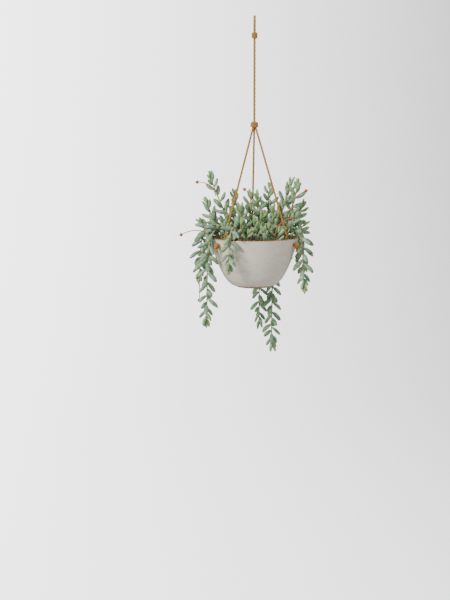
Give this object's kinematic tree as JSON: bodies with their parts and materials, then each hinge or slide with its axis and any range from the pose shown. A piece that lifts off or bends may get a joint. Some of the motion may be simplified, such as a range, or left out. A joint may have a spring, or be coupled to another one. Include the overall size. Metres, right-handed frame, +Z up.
{
  "type": "hanging potted burro's tail plant",
  "caption": "Burro's tail succulent with upright and trailing leafy stems in a round ceramic bowl, hung by cord legs from a gathering knot and a top loop.",
  "frame": {"origin": "where the top loop bears on the hook that it hangs on", "axes": "+Z up along the hanging cord, the front with the bare side of the bowl faces -Y, +X to the right seen from the front"},
  "size_m": [0.2733, 0.2415, 0.6987],
  "materials": {
    "glaze": "satin glaze, off-white, breaking brown at the rim and foot",
    "compost": "gritty potting compost",
    "cotton_cord": "twisted ochre cotton",
    "leaf": "plump, matt, with a pale powdery bloom",
    "bud": "matt, rust-coloured"
  },
  "bodies": {
    "root": {"hang_loop": "cotton_cord", "loop_whipping": "cotton_cord", "main_cord": "cotton_cord", "gathering_knot": "cotton_cord", "leg_cord_1": "cotton_cord", "leg_cord_2": "cotton_cord", "leg_cord_3": "cotton_cord", "rim_knot_1": "cotton_cord", "rim_knot_2": "cotton_cord", "rim_knot_3": "cotton_cord", "bowl": "glaze", "soil": "compost", "bud_stalk_1": "bud", "bud_stalk_2": "bud", "bud_stalk_3": "bud", "bud_stalk_4": "bud", "bud_stalk_5": "bud", "bud_stalk_6": "bud", "sprig_1": "leaf", "sprig_2": "leaf", "sprig_3": "leaf", "sprig_4": "leaf", "sprig_5": "leaf", "sprig_6": "leaf", "sprig_7": "leaf", "sprig_8": "leaf", "sprig_9": "leaf", "sprig_10": "leaf", "sprig_11": "leaf", "sprig_12": "leaf", "sprig_13": "leaf", "sprig_14": "leaf", "sprig_15": "leaf", "sprig_16": "leaf", "sprig_17": "leaf", "sprig_18": "leaf", "sprig_19": "leaf", "sprig_20": "leaf", "sprig_21": "leaf", "sprig_22": "leaf", "sprig_23": "leaf", "sprig_24": "leaf", "sprig_25": "leaf", "sprig_26": "leaf", "sprig_27": "leaf", "sprig_28": "leaf", "sprig_29": "leaf", "sprig_30": "leaf", "trail_1": "leaf", "trail_2": "leaf", "trail_3": "leaf", "trail_4": "leaf", "trail_5": "leaf", "trail_6": "leaf", "trail_7": "leaf", "trail_8": "leaf", "trail_9": "leaf", "trail_10": "leaf", "trail_11": "leaf"}
  },
  "joints": []
}
